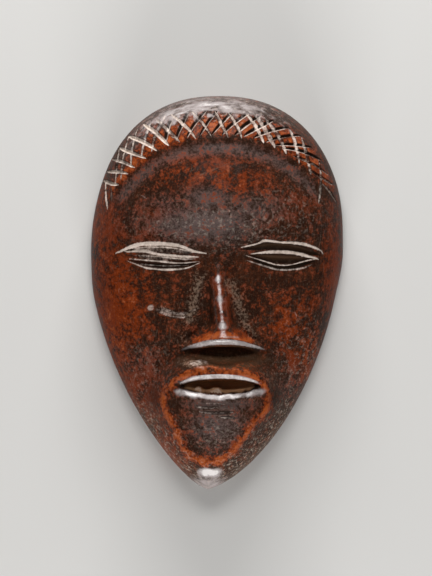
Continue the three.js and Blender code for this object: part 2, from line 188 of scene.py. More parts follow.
def curve_through(before, here, after, beyond, t):
    """A smooth curve past four places in a row, at a share of the way between the middle two."""
    curve = 2 * before - 5 * here + 4 * after - beyond
    twist = 3 * here - before - 3 * after + beyond
    return here + 0.5 * t * (after - before + t * (curve + t * twist))


def muzzle_reach(x, y):
    count = len(MUZZLE_REACHES)
    at = np.mod(np.arctan2(y - MUZZLE_Y, x - MUZZLE_X) / (2 * np.pi) + 1, 1) * count
    step = np.minimum(at.astype(int), count - 1)
    before, here, after, beyond = (MUZZLE_REACHES[(step + k) % count] for k in (-1, 0, 1, 2))
    return curve_through(before, here, after, beyond, at - step)


def muzzle_share(x, y):
    return np.hypot(x - MUZZLE_X, y - MUZZLE_Y) / muzzle_reach(x, y)


def muzzle(x, y):
    share = muzzle_share(x, y)
    down = np.clip((-28.6 - y) / 20.4, 0, 1)
    raised = 4.1 * (1 - 0.75 * down**1.2) * (1 - smooth(0.96, 1.38, share))
    crest = 0.45 * np.exp(-(((share - 1) / 0.075) ** 2))
    facet = bump(x + 0.8, y + 38, 7.5, 7)
    return (raised + crest) * smooth(-53, -47, y) - facet


def lip_wave(x, y):
    return (0.35 * bump(x + 0.5, 0, 2.2, 1) + 0.12 * np.sin(1.7 * x)) * (y < MOUTH_Y)


def from_mouth(x, y):
    a, b = (x - MOUTH_X) / MOUTH_HALF_LENGTH, (y + lip_wave(x, y) - MOUTH_Y) / MOUTH_HALF_OPENING
    share = np.hypot(a, b)
    steepness = np.hypot(a / MOUTH_HALF_LENGTH, b / MOUTH_HALF_OPENING) + 1e-9
    return share * (share - 1) / steepness


def lip_bevel(x, y):
    return -1.35 * (1 - np.clip(from_mouth(x, y) / LIP_BEVEL, 0, 1))


def relief(x, y, share, angle):
    side = np.abs(x)
    face_drop = 3.2 * smooth(21, 8, y + 0.004 * x * x) * (1 - smooth(20, 34, side))
    forehead = 0.7 * bump(x, y - 22, 17, 9)
    cheek_hollow = 1.5 * bump(side - 12.5, y + 3, 6.5, 9.5)
    body = (DOME_HEIGHT + forehead - face_drop - cheek_hollow) * roundness(share, angle)
    return body + hairline(share, angle) + nose(x, y) + muzzle(x, y) + lip_bevel(x, y)


def face_point(x, y):
    angle = np.arctan2(y - CENTRE_Y, x)
    share = np.hypot(x, y - CENTRE_Y) / reach(angle)
    height = EDGE_HEIGHT + outward * relief(x, y, share, angle)
    return np.stack([x * across, y * along, height], axis=-1)


# %% [markdown]
# A hand-carved surface is never quite smooth. Patchy noise made from a grid of random heights, blended
# smoothly between its points, gives slow swells and small unevenness. The dice are seeded, so each run
# gives the same mask.

# %% Unevenness of the hand
def patchy(x, y, size, salt):
    grid = np.random.default_rng(salt).uniform(-1, 1, (80, 80))
    u, v = np.mod(x / size + 40, 79), np.mod(y / size + 40, 79)
    i, j = u.astype(int), v.astype(int)
    s, t = smooth(0, 1, u - i), smooth(0, 1, v - j)
    top = grid[i, j] * (1 - s) + grid[i + 1, j] * s
    return top * (1 - t) + (grid[i, j + 1] * (1 - s) + grid[i + 1, j + 1] * s) * t


def unevenness(x, y):
    swell = 0.14 * patchy(x, y, 7, 1) + 0.08 * patchy(x + 3, y, 3.1, 2)
    on_nose = bump(x - nose_middle(y), 0, 2.5, 1) * smooth(-13, -10, y) * smooth(9, 5, y)
    on_ridge = 0.18 * patchy(x / 3, y, 2.6, 6) + 0.05 * patchy(x / 2, y, 0.9, 7)
    return swell + 0.04 * patchy(x, y, 1.3, 3) + on_nose * on_ridge


# %% [markdown]
# Every knife cut is a path on the face with a width and a depth that taper to its ends. The hair has one
# family of cuts that slant across its band and one that climbs along it. Each eye is three long cuts with
# thin ridges left between them, and the mouth is one wide, deep cut. A cut is pale on its left wall, its
# right wall or both: pale dust, and on a wall that faces a lamp a painted highlight as well. Where it
# holds none it is darkened, a painted shade.

# %% Cuts of the hair, the eyes and the mouth
HAIR_CUT_WIDTH, HAIR_CUT_DEPTH = 1.35, 0.6
EYE_CUT_DEPTH = 0.95
MOUTH_DEPTH = 6.5
DEEPEST_KNIFE_CUT = 1.5
cuts = []


def path_through(places, count):
    p = np.array(places, float)
    p = np.concatenate([2 * p[:1] - p[1:2], p, 2 * p[-1:] - p[-2:-1]])
    at = np.linspace(0, len(places) - 1, count + 1)
    step = np.minimum(at.astype(int), len(places) - 2)
    return curve_through(p[step], p[step + 1], p[step + 2], p[step + 3], (at - step)[:, None]).T


def add_cut(x, y, width, depth, floor=0.0, taper=0.5, pale=(0.0, 0.0), painted_shade=1.0):
    path = face_point(x, y)
    cuts.append(dict(path=path, width=width, depth=depth, floor=floor, taper=taper, pale=pale, painted_shade=painted_shade))


CUTS_ACROSS_HAIR = (
    (149.5, 147.5), (145, 141), (140.4, 135.6), (134.5, 128.6), (128.1, 122.4), (121.3, 115), (115.5, 109.5),
    (108.7, 101.6), (101.5, 92.3), (90.9, 84.2), (84.8, 77.7), (78.1, 65.3), (73.9, 59.7), (69.5, 53.8),
    (59.1, 45.3), (52.4, 37.6),
)
CUTS_ALONG_HAIR = (
    (30.5, 21.3), (40.2, 28.5), (50.7, 32.6), (56, 40.4), (60.5, 46.5), (65.5, 52.6), (71, 59.5), (76.5, 66),
    (81.5, 71), (87, 77), (93, 83.5), (99.2, 89), (105, 94.6), (111.5, 101.6), (117.5, 107), (124, 111.5),
    (131, 117), (138, 123), (144.5, 128), (149, 134),
)
CUTS_BELOW_HAIR = ((149.5, 0.975, 161, 0.9), (150, 0.92, 157, 0.885), (41.5, 0.95, 23, 0.82))


def hair_stroke(from_turn, from_share, to_turn, to_share, number, pale, widen=1.0):
    s = np.linspace(0, 1, 9)
    sway = 0.5 * np.sin(2.1 * number + 3 * s)
    turn = from_turn + (to_turn - from_turn) * s + sway
    x, y = place_at(from_share + (to_share - from_share) * s, np.radians(turn))
    vary = 1 + 0.15 * np.sin(5.3 * number)
    add_cut(x, y, HAIR_CUT_WIDTH * vary * widen, HAIR_CUT_DEPTH * vary, pale=pale)


# How much dust a cut holds on its left and right wall changes along the band, as in the photo.
# The pale wall is dust and, where it faces a lamp, a painted highlight; a wall without it gets painted shade.
for number, (outer, inner) in enumerate(CUTS_ACROSS_HAIR):
    vary = 0.12 * np.sin(3.7 * number)
    pale = (0.85 + vary, 0.4 + vary) if outer > 76 else (0.6 + vary, 0.5)
    if outer > 118:
        pale = (1.1, 1.0)
    widen = 1.4 if outer < 75 else 1.0
    hair_stroke(outer, band_outer(outer), inner, band_inner(inner) + 0.015, number, pale, widen)
for number, (inner, outer) in enumerate(CUTS_ALONG_HAIR):
    pale = (0.0, 0.75 + 0.15 * np.sin(2.3 * number)) if inner < 122 else (0.55, 0.2)
    if inner < 52:
        pale = (0.5, 0.85) if inner > 40 else (0.9, 1.0)
    widen = 0.7 if inner < 52 else 1.0
    hair_stroke(inner, band_inner(inner) + 0.03, outer, band_outer(outer) + 0.005, number + 0.5, pale, widen)
for number, (ends, pale) in enumerate(zip(CUTS_BELOW_HAIR, (1.0, 0.45, 0.5))):
    hair_stroke(*ends, number, (pale, pale), 1.1)

EYE_CUTS = (
    (2.5, 0.85, 0.15, ((-27.2, 11.3), (-21.5, 12.2), (-15.5, 12.2), (-9.5, 11.5), (-3.8, 10.3))),
    (2.1, 0.7, 0.2, ((-26, 10.4), (-18.4, 9.9), (-10.7, 9), (-4.6, 9.3))),
    (2, 1, 0.6, ((-24.4, 9), (-18.5, 7.8), (-12.5, 7.3), (-5.4, 8.2))),
    (2.6, 0.95, 0.75, ((6.6, 11.9), (14.2, 12.9), (21.5, 12.5), (28.8, 10.3))),
    (3, 0.85, 0.7, ((9, 10.4), (17.3, 9.4), (26.5, 9.5))),
    (1.5, 0.8, 1, ((9.4, 9.3), (16.2, 7.1), (20.2, 7), (27.4, 8.8))),
)
for width, depth, painted_shade, places in EYE_CUTS:
    add_cut(*path_through(places, 24), width * along, EYE_CUT_DEPTH * depth, taper=0.9, painted_shade=painted_shade)

s = np.linspace(-1, 1, 33)
mouth_line = MOUTH_X + MOUTH_HALF_LENGTH * s
add_cut(mouth_line, np.full_like(s, MOUTH_Y), 2 * MOUTH_HALF_OPENING * along, MOUTH_DEPTH,
        floor=0.55, taper=0.7, painted_shade=0.9)

# %% The scar, the scratches below the mouth and the fine marks
SCAR = ((-17, -4.6), (-13.9, -5.6), (-9.8, -5.9), (-6.8, -5.2))
SCAR_WIDTH, SCAR_DEPTH = 2.2, 0.4
CHIN_SCRATCHES = (
    ((-6.2, -31.5), (-3, -31.9), (0.4, -31.7)),
    ((-5, -33), (0, -33.3), (4.8, -33)),
    ((0.7, -34.5), (5.2, -34.7)),
)
CHIN_SCRATCH_WIDTH, CHIN_SCRATCH_DEPTH = 1.0, 0.4
FINE_MARKS = (
    ((-3.2, -20), (-1.1, -22)), ((-5.5, -30.6), (2.5, -30.9)), ((21, -3.5), (23.2, -9.9)),
    ((-5.5, -38.3), (-2.2, -37.6)), ((25.6, 19.5), (26.8, 18.9)), ((-21, 27), (-19.4, 26)),
    ((-4, 20), (-3.3, 21.6)), ((3.3, 22.8), (4, 21.2)),
)
FINE_MARK_WIDTH, FINE_MARK_DEPTH = 0.45, 0.12
add_cut(*path_through(SCAR, 12), SCAR_WIDTH, SCAR_DEPTH, pale=(0.1, 0.25), painted_shade=0.35)
for places in CHIN_SCRATCHES:
    add_cut(*path_through(places, 8), CHIN_SCRATCH_WIDTH, CHIN_SCRATCH_DEPTH, pale=(0.0, 0.6))
for places in FINE_MARKS:
    add_cut(*path_through(places, 6), FINE_MARK_WIDTH, FINE_MARK_DEPTH, pale=(0.3, 0.3))
print(f"{len(cuts)} knife cuts")

# %% [markdown]
# Pale lines also mark edges: the rims of the eyes, the thin ridges between their cuts, and the scar on the
# cheek. They are dust, and on the rims and ridges of the eyes, where these edges face a lamp, a painted
# highlight as well. Each is a line with a width and a strength.

# %% Lines of pale dust and painted highlight
DUST_AND_HIGHLIGHT_LINES = (
    (1.1, 1.1, ((-28.1, 10.9), (-22.3, 13.1), (-16.5, 13.5), (-10.7, 12.9), (-6.85, 11.5), (-3, 10.8))),
    (0.7, 0.95, ((-25.8, 11.3), (-20.4, 11.5), (-16.5, 10.6), (-10.7, 10.1), (-5.1, 9.8))),
    (2.0, 0.36, ((-24.5, 11.7), (-16, 12.1), (-7, 11))),
    (1.5, 0.34, ((-23, 10.2), (-15, 9.7), (-7, 9.1))),
    (0.32, 0.75, ((-24.5, 11.9), (-19, 12.3), (-12, 12), (-6.5, 10.9))),
    (0.32, 0.7, ((-22, 10.2), (-16, 9.7), (-10, 9.2), (-6, 9.3))),
    (0.3, 0.6, ((-22, 7.9), (-15, 7.3), (-8, 7.5))),
    (0.45, 0.75, ((-24.6, 9.4), (-16.5, 8.7), (-10.7, 8.1), (-4.9, 8.6))),
    (0.5, 0.8, ((-24.8, 8.8), (-20.4, 7.1), (-18, 6.6), (-14.2, 6.3), (-8.75, 6.7), (-4.9, 8.2))),
    (0.7, 1.0, (
        (6.7, 12.5), (11.2, 13.5), (13.3, 14.4), (18, 13.8), (23.3, 13.6), (28.4, 11.9), (29.4, 10.7))),
    (0.9, 1.0, ((9.5, 10.7), (14.4, 11.2), (20.65, 11.1), (25.1, 10.1), (28.2, 9.3))),
    (0.35, 0.8, ((7.8, 10.3), (13.7, 8.5), (16.5, 7.7), (20.5, 7.7), (25.1, 8.9), (28, 9.3))),
    (0.5, 0.5, ((8.1, 9), (15.3, 6.7), (18.9, 6.3), (23.3, 6.7), (26.4, 7.8))),
    (1.7, 0.33, ((-17.2, -4.7), (-14.5, -5.2), (-11.5, -5.7))),
    (0.8, 0.4, ((-14, -5.5), (-9.5, -5.9), (-5, -4.4))),
    (0.4, 0.5, ((-14.5, -6.3), (-10, -6.9), (-6.8, -6.2))),
)

# %% [markdown]
# Carving the cuts into the mesh: a point near a cut's path sinks along the surface's normal, deepest at
# the path. The blade pushes up a thin burr on both sides. Which wall of the cut a point lies on, and how
# deep in it is, is measured here once for every point of the dense mesh.

# %% Sinking points into the cuts
BURR_HEIGHT, BURR_WIDTH = 0.06, 0.22


def along_path(points, path):
    """The distance to a path, the share of the way along it, and the distance to its left."""
    best, place, left = np.full(len(points), 1e9), np.zeros(len(points)), np.zeros(len(points))
    lengths = np.linalg.norm(np.diff(path, axis=0), axis=1)
    run = np.concatenate([[0], np.cumsum(lengths)]) / lengths.sum()
    for n, length in enumerate(lengths):
        step = (path[n + 1] - path[n]) / length
        offset = points - path[n]
        t = np.clip(offset @ step, 0, length)
        far = np.linalg.norm(offset - t[:, None] * step, axis=1)
        closer = far < best
        best = np.where(closer, far, best)
        place = np.where(closer, run[n] + t / length * (run[n + 1] - run[n]), place)
        left = np.where(closer, step[0] * offset[:, 1] - step[1] * offset[:, 0], left)
    return best, place, left


def near_path(points, path, margin):
    return np.flatnonzero(np.all((points > path.min(0) - margin) & (points < path.max(0) + margin), axis=1))


def carve(points):
    depth, pale, painted_shade, burr = (np.zeros(len(points)) for _ in range(4))
    for cut in cuts:
        index = near_path(points, cut["path"], cut["width"])
        best, place, left = along_path(points[index], cut["path"])
        fade = np.maximum(0.12, np.clip(1 - np.abs(2 * place - 1) ** 2.5, 0, 1) ** cut["taper"])
        half = cut["width"] / 2 * fade
        wall = np.clip((1 - best / half) / (1 - cut["floor"]), 0, 1)
        depth[index] = np.maximum(depth[index], cut["depth"] * fade * wall)
        # Pale on the left wall, the right wall or both: dust, and a painted highlight on a wall that faces a
        # lamp.
        side = smooth(-0.12, 0.12, left)
        waver = 0.85 + 0.35 * patchy(points[index, 0], points[index, 1], 2.2, 9)
        pale_wall = (cut["pale"][1] * (1 - side) + cut["pale"][0] * side) * smooth(0, 0.4, wall) * waver
        pale[index] = np.maximum(pale[index], pale_wall)
        # Painted shade: the cut is darkened inside and just past its edges, more in deeper cuts, except where
        # it is pale.
        shaded = smooth(1.0, 0.7, best / half) + 0.45 * smooth(1.7, 0.9, best / half)
        in_shade = cut["painted_shade"] * min(1, 2 * cut["depth"]) * np.minimum(1, shaded)
        painted_shade[index] = np.maximum(painted_shade[index], in_shade * (1 - pale_wall))
        lip = np.exp(-(((best - half) / BURR_WIDTH) ** 2)) * (cut["depth"] < DEEPEST_KNIFE_CUT)
        burr[index] = np.maximum(burr[index], BURR_HEIGHT * lip * fade)
    return depth, pale, painted_shade, np.where(depth > 0.02, 0, burr)


def dust_and_highlight_on_lines(points):
    pale = np.zeros(len(points))
    for width, strength, places in DUST_AND_HIGHLIGHT_LINES:
        path = face_point(*path_through(places, 24))
        index = near_path(points, path, width + 1)
        best, place, _ = along_path(points[index], path)
        waver = 1 + 0.2 * patchy(points[index, 0], points[index, 1], 1.6, 8)
        half = width / 2 * (0.2 + 0.8 * (1 - np.abs(2 * place - 1) ** 3)) * waver
        pale[index] = np.maximum(pale[index], strength * (1 - smooth(0.75, 1.35, best / half)))
    return pale


# %% [markdown]
# The mesh is one closed skin of rings. It starts in the middle of the face, runs out to the outline, down
# the plain edge, across the flat rim, and over the hollow's wall to its deepest point. The rings lie
# closer together towards the outline, and the spokes over the brow and the crown, for the hair's cuts.

# %% Rings and spokes of the face
FINE_ANGLES, COARSE_ANGLES, FACE_RINGS = 860, 460, 330
fine = np.radians(np.linspace(14, 166, FINE_ANGLES, endpoint=False))
coarse = np.radians(np.linspace(166, 374, COARSE_ANGLES, endpoint=False))
angles = np.concatenate([fine, coarse])
spokes = len(angles)
share = np.sin(np.linspace(0, 1, FACE_RINGS + 1)[1:] ** 0.92 * np.pi / 2)
RIM_WIDTH, FACE_WALL = 6.0, 5.0
EDGE_ROUNDING = 0.5

ring_share, ring_angle = np.meshgrid(share, angles, indexing="ij")
x, y = place_at(ring_share, ring_angle)
face = face_point(x, y)
print(f"face grid: {FACE_RINGS} rings x {spokes} spokes")


def patches(*places):
    """The highest of several soft oval patches, each with its middle, its two reaches and its amount."""
    highest = np.zeros_like(x)
    for cx, cy, reach_x, reach_y, amount in places:
        highest = np.maximum(highest, amount * bump(x - cx, y - cy, reach_x, reach_y))
    return highest


def grid_normals(grid, closed_centre):
    around = np.roll(grid, -1, axis=1) - np.roll(grid, 1, axis=1)
    middle_row = np.broadcast_to(closed_centre, grid[:1].shape)
    padded = np.concatenate([middle_row, grid, 2 * grid[-1:] - grid[-2:-1]])
    outwards = padded[2:] - padded[:-2]
    normal = np.cross(outwards, around)
    return normal / np.maximum(np.linalg.norm(normal, axis=-1, keepdims=True), 1e-12)


centre = face_point(np.array(0.0), np.array(CENTRE_Y))
normals = grid_normals(face, centre)
flat_points = face.reshape(-1, 3)
depth, pale, painted_shade, burr = (a.reshape(face.shape[:2]) for a in carve(flat_points))
pale = np.maximum(pale, dust_and_highlight_on_lines(flat_points).reshape(face.shape[:2]))
carved_depth = depth
in_mouth = carved_depth > DEEPEST_KNIFE_CUT
crumbs = smooth(0.25, 0.8, patches((-5.5, -27.3, 1.5, 1.3, 1), (-0.3, -27.6, 2.3, 1.4, 1)))
depth = np.where(in_mouth, depth * (1 - 0.6 * crumbs), depth)
fading = 1 - smooth(0.96, 1, ring_share)
move = burr - depth + unevenness(x, y) * fading * smooth(0, 0.02, ring_share)
carved = face + normals * move[..., None]
carved[..., 2] = np.minimum(carved[..., 2], mask_depth)

# %% Edge, rim and hollow
CRISP_STRIP = 0.4
outline_xy = face[-1, :, :2]
inside, outside = np.zeros(spokes), reach(angles)
for _ in range(20):
    r = (inside + outside) / 2
    px, py = r * np.cos(angles) * across, (CENTRE_Y + r * np.sin(angles)) * along
    gap = np.hypot(px[:, None] - outline_xy[None, ::4, 0], py[:, None] - outline_xy[None, ::4, 1]).min(axis=1)
    inside, outside = np.where(gap > RIM_WIDTH, r, inside), np.where(gap > RIM_WIDTH, outside, r)
hollow_reach = inside
mouth_floor = face_point(np.array(MOUTH_X), np.array(MOUTH_Y))[2] - MOUTH_DEPTH
hollow_depth = mouth_floor - FACE_WALL


def ring(radius, height):
    px, py = radius * np.cos(angles) * across, (CENTRE_Y + radius * np.sin(angles)) * along
    return np.stack([px, py, np.broadcast_to(height, px.shape)], axis=-1)


def back_rings():
    full = reach(angles)
    rings = [ring(full, EDGE_HEIGHT * (1 - k)) for k in (0.25, 0.5, 0.72)]
    for k in np.linspace(0, 1, 5):
        corner = k * np.pi / 2
        rings.append(ring(full - EDGE_ROUNDING * (1 - np.cos(corner)), EDGE_ROUNDING * (1 - np.sin(corner))))
    for k in np.linspace(0, 1, 12)[1:-1]:
        rings.append(ring((full - EDGE_ROUNDING) * (1 - k) + (hollow_reach + CRISP_STRIP) * k, 0.0))
    rings.append(ring(hollow_reach + CRISP_STRIP, 0.0))
    for k in np.linspace(0, 1, 110)[:-1]:
        inward = np.cos(k * np.pi / 2)
        rings.append(ring(hollow_reach * inward, hollow_depth * (1 - inward**2.6) ** 0.6))
    return np.stack(rings)


back = back_rings()
print(f"back grid: {len(back)} rings, hollow {hollow_depth:.1f} mm deep")

# %% [markdown]
# Inside the hollow the carver used a narrow gouge and left its marks. Each mark is a long shallow dent.
# The face lost such marks to sanding and handling, so only the back has them.

# %% Gouge marks in the hollow
GOUGE_MARKS, GOUGE_DEPTH = 190, 0.4
FIRST_GOUGED_RING = 21


def gouge_dents(x, y):
    dents = np.zeros_like(x)
    for _ in range(GOUGE_MARKS):
        cx, cy = dice.uniform(-30, 30), dice.uniform(-46, 50)
        lean = dice.normal(0, 0.25)
        u = (x - cx) * np.cos(lean) + (y - cy) * np.sin(lean)
        v = (y - cy) * np.cos(lean) - (x - cx) * np.sin(lean)
        width, length = dice.uniform(1.8, 2.8), dice.uniform(5, 9)
        dents = np.maximum(dents, 1 - (u / width) ** 2 - (v / length) ** 2)
    return GOUGE_DEPTH * dents


beyond_rim = (np.arange(len(back)) >= FIRST_GOUGED_RING)[:, None]
inside_hollow = smooth(0.3, 1.5, back[..., 2]) * beyond_rim
dents = gouge_dents(back[..., 0], back[..., 1]) * inside_hollow
back[..., 2] += dents + 0.12 * patchy(back[..., 0], back[..., 1], 5, 5) * inside_hollow
print(f"gouge marks: {GOUGE_MARKS}, up to {dents.max():.2f} mm deep")

# %% [markdown]
# The finish follows the form. Hands rub the crests bare: the crest round the muzzle, the tip of the nose
# and the small lozenges of the hair. They polish the lips, the crown and the chin, and these and the nose's
# ridge also get painted silvery highlights. The brow, the valley under the hair and the chin get a painted
# grey sheen. Painted shade darkens the cuts, the recess under the nose, the place under the lower lip and
# the sides of the mouth, and a paler brown painted into the mouth, that recess and the right eye's cuts
# is a painted fill light that lifts their shade. Dust settles beside the nose and along the jaw. Each of
# these is a field over the face, from 0 to 1 and a little more where it is strongest. The material breaks
# its edges up later.

# %% Where the wood is worn
turn = np.degrees(ring_angle)
muzzle_turn = np.degrees(np.arctan2(y - MUZZLE_Y, x - MUZZLE_X)) % 360
beyond_crest = (muzzle_share(x, y) - 1) * muzzle_reach(x, y)
over_lip = smooth(12, 35, muzzle_turn) * (1 - smooth(150, 172, muzzle_turn))
at_chin = bump(muzzle_turn - 262, 0, 16, 1)
crest_width = 1.2 + 0.3 * over_lip + 0.6 * at_chin
crest_worn = 1.1 * np.exp(-(((beyond_crest + 0.7 * over_lip + 0.7 * at_chin) / crest_width) ** 2))
crest_worn *= 1 - 0.45 * bump(x - 1.2, y + 21.3, 2.4, 1.5)
crest_worn *= 0.74 + 0.3 * patchy(x, y, 2.2, 11)
above_nose_cut = y - nose_underside(x)
nose_tip = smooth(-0.1, 0.25, above_nose_cut) * smooth(4.4, 0, above_nose_cut)
nose_tip *= smooth(9.6, 7, np.abs(x - 1.9))
nose_tip *= (0.95 + 0.3 * patchy(x, y, 1.5, 23)) * (0.65 + 0.35 * smooth(-6, -1.5, x - 1.9))
into_band = ring_share - band_inner(turn) - 0.02 * smooth(112, 98, turn)
in_band = band_here(turn) * smooth(-0.015, 0.02, into_band)
in_band *= 1 - smooth(-0.03, 0.03, ring_share - band_outer(turn))
far_left = smooth(116, 132, turn) * smooth(0.04, 0.09, into_band)
lozenges = 0.5 + 0.24 * smooth(0.01, 0.05, into_band) - 0.4 * far_left
lozenges = in_band * (lozenges - 0.3 * smooth(0.07, 0.17, into_band))
flecked = patches(
    (-3, 33, 14, 4, 0.3), (5, 29, 10, 4, 0.36), (-27, -8, 8, 17, 0.42), (19, -8, 6, 6, 0.34),
    (25, -17, 4, 10, 0.34), (-33, 17, 3.5, 14, 0.36), (-13, -42, 5, 8, 0.3),
)
worn = np.clip(np.maximum.reduce([crest_worn, 1.1 * nose_tip, lozenges, flecked]), 0, 1)
print(f"worn: {worn.mean():.2f} on average")

# %% Painted silvery highlights
bevel_height = 1.45 * (1 - 0.8 * np.clip(np.abs(x - 1.8) / 12, 0, 1) ** 3)
nose_bevel = smooth(-bevel_height - 0.1, -bevel_height + 0.15, above_nose_cut)
nose_bevel *= smooth(0.15, -0.1, above_nose_cut)
nose_bevel *= smooth(12.5, 10, np.abs(x - 1.6))
lip_distance = from_mouth(x, y)
from_middle = np.abs(x - MOUTH_X)
upper_width = 0.92 * LIP_BEVEL * (1 - 0.75 * np.clip(from_middle / 11.5, 0, 1) ** 2.5)
upper_lip = smooth(upper_width + 0.15, upper_width - 0.15, lip_distance) * smooth(12.5, 11, from_middle)
lower_lip = smooth(2.7, 0, lip_distance) ** 1.3 * smooth(14, 11.5, from_middle)
lower_lip *= 1.0 + 0.3 * patchy(x, y / 2, 1.3, 27)
lips = smooth(-0.1, 0.15, lip_distance) * np.where(y > MOUTH_Y, upper_lip, lower_lip)
lips *= smooth(0.1, 1.3, np.abs(y - MOUTH_Y))
rim_streaks = patchy(0.25 * turn, 100 * ring_share, 1.2, 21)
rim_streaks += 0.5 * patchy(0.5 * turn, 160 * ring_share, 1, 22)
crown_sheen = bump(ring_share - 0.925, turn - 97, 0.052, 30) * (1 + 0.6 * rim_streaks)
row_glints = in_band * smooth(0.09, 0.15, into_band) * bump(turn - 98, 0, 24, 1)
row_glints *= smooth(-0.1, 0.4, patchy(x, y, 1.2, 26))
chin_tip = smooth(4.3, 1.6, np.abs(x + 2.1)) * smooth(-52.3, -50.2, y) * smooth(-48.2, -49.6, y)
chin_tip *= 1 + 0.25 * patchy(x, y, 1.1, 24)
glints = patches(
    (0.3, 3.7, 0.8, 1.2, 1.05), (0.7, -1.8, 0.95, 1.1, 1.05), (0.8, 1, 0.6, 0.6, 0.5),
    (1.45, -9.1, 1.1, 1.2, 1.15), (1.1, -5.5, 0.8, 0.5, 0.65), (-2.3, -53.2, 5.5, 2.4, 0.75),
    (3.5, -12.3, 4, 0.4, 0.5),
)
# Painted highlights, pale grey to white: the bevel under the nose, the lips, the crown, the chin tip, the top
# rows of the hair and glints along the nose's ridge and above its bevel.
painted_highlight = np.maximum.reduce([
    0.95 * nose_bevel, 1.12 * lips, 0.82 * crown_sheen, 1.4 * chin_tip, 0.9 * row_glints, glints,
])
print(f"silver: up to {painted_highlight.max():.2f}")

# %% Pale residue, painted fill light and painted shade
cheek_chip = smooth(1.3, 0.6, np.hypot(x + 18.5, y + 4.4) + 0.25 * patchy(x, y, 0.9, 25))
# A pale patch under the nose: dust, and partly a painted highlight.
under_nose = bump(x + 4.9, y + 19.6, 2.6, 1.1) * (1 + 0.4 * patchy(x, y, 0.8, 28))
pale = np.maximum.reduce([pale, 0.5 * cheek_chip, 0.62 * under_nose, np.where(in_mouth, 0.5 * crumbs, 0)])
recess = smooth(-1.3, -1.9, above_nose_cut) * bump(x - 2.2, y + 17.6, 8.6, 2.5)
in_right_eye = smooth(0.2, 0.7, carved_depth) * bump(x - 17.5, y - 10.3, 14, 4)
# Painted fill light: a paler brown in the mouth, the recess under the nose and the right eye's cuts lifts
# their shade.
painted_fill = np.maximum.reduce([smooth(1.2, 2.4, carved_depth), 0.3 * recess, 0.09 * in_right_eye])
# Painted shade: darker in the recess under the nose, under the lower lip and beside the mouth and the nose.
under_lip = bump(x - 0.8, y + 31.2, 8, 1.0)
painted_shade = np.where(in_mouth, 0.05, np.maximum.reduce([painted_shade, 0.1 * recess, 0.5 * under_lip]))
shaded_corners = patches(
    (-17.5, -29, 2.0, 5, 0.5), (15.6, -29, 2.2, 4, 0.5), (-11.5, -20.5, 3, 2.4, 0.4), (13.5, -20, 3, 3, 0.4),
)
painted_shade = np.clip(np.maximum(painted_shade, shaded_corners), 0, 1)
print(f"grime: {painted_shade.mean():.2f} on average")

# %% Dust, red wood, painted sheen and scuffs
left_fold = bump(x + 5.6 + 0.28 * (0.5 - y), 0, 2.2, 1) * smooth(8, 4, y) * smooth(-12, -7, y)
right_fold = bump(x - 6.2 + 0.38 * (y + 4), 0, 2.4, 1) * smooth(6, 2, y) * smooth(-18, -12, y)
low_edge = smooth(0.84, 0.97, ring_share) * smooth(-22, -36, y)
# Under the nose the patch at (-7, -19.6) is dust and partly a painted highlight, and the patch at (2.2,
# -17.4) is a painted fill light that lifts the shade of the recess.
dust_patches = patches(
    (-7, -19.6, 3.4, 1.4, 1.15), (-9.5, -12, 3, 4, 0.6), (14.5, -24, 4, 6, 0.5), (-6, 5, 3, 4, 0.55),
    (4.5, 3, 2.5, 4, 0.4), (26, -17, 6, 10, 0.45), (-19, -33, 5, 7, 0.45), (17, -41, 6, 6, 0.7),
    (-16, 12.1, 9, 1.1, 1.2), (-15, 9.9, 8, 1.0, 1.1), (-15, -4.6, 3, 1.4, 0.7),
    (2.2, -17.4, 8, 2.2, 0.8), (17, 12.1, 9, 0.9, 0.7), (18, 8.4, 7, 1.1, 0.7),
)
dust = np.maximum.reduce([
    dust_patches, 0.95 * left_fold, 0.95 * right_fold, 0.6 * low_edge, np.where(in_mouth, 0.4, 0),
])
dust = np.clip(dust, 0, 1) * (1 - 0.8 * worn)
on_ridge = bump(x - nose_middle(y) + 0.2, 0, 1.9, 1) * smooth(8, 4, y) * smooth(-15, -12, y)
red = patches(
    (-28, -5, 10, 20, 1.0), (-4, 36, 16, 3, 0.7), (1, 30, 17, 5, 0.62), (33, 6, 4, 20, 0.9),
    (-21, -26, 7, 12, 0.85), (9, 31, 8, 5, 0.65), (19, -9, 5, 8, 0.75), (-30, 19, 6, 10, 0.9),
    (-15, 22, 8, 4, 0.7), (-9, 16, 6, 2.5, 0.4), (22, 24, 10, 7, 0.45), (26, -22, 6, 13, 0.6),
    (-13, -43, 6, 8, 0.9), (-18, 16, 9, 3, 0.6), (12, 18, 9, 4, 0.3), (25, -3, 5, 3, 0.65),
    (3.2, -4, 1.4, 9, 0.9), (21, -19, 2, 5, 0.8),
)
red = np.maximum(red, 0.95 * on_ridge) * (1 - 0.8 * bump(x + 1.5, y - 27, 4, 4))
# Painted sheen: grey where the valley under the hair, the crown, the brow, the chin facet and the chin tip
# would reflect the lamps.
painted_sheen = np.maximum(0.6 * band_here(turn) * valley(ring_share, turn), patches(
    (0, 54, 26, 4.5, 0.8), (-4, 19, 17, 5.5, 1.0), (-2, 26, 9, 4.5, 0.8), (-14, 23, 8, 5, 0.5),
    (0, -37, 9, 7, 0.75), (8, 23, 15, 6, 0.6), (-21, -19, 6, 7, 0.45), (21, -27, 5, 8, 0.4),
    (0.8, -31, 11, 2.2, 0.8), (-2.4, -53, 5, 2.4, 1.0),
))
polish = np.maximum.reduce([on_ridge, crown_sheen, chin_tip, 0.6 * nose_tip, 0.7 * painted_highlight])
scuff = np.maximum(0.9 * low_edge, patches(
    (24, -20, 8, 13, 0.45), (15, -44, 8, 7, 0.8), (-16, -43, 7, 7, 0.7), (0, 18, 22, 6, 0.5),
    (20, 22, 12, 8, 0.3), (-20, -22, 7, 9, 0.35), (0, 52, 30, 6, 0.6), (0, -38, 8, 7, 0.35),
))
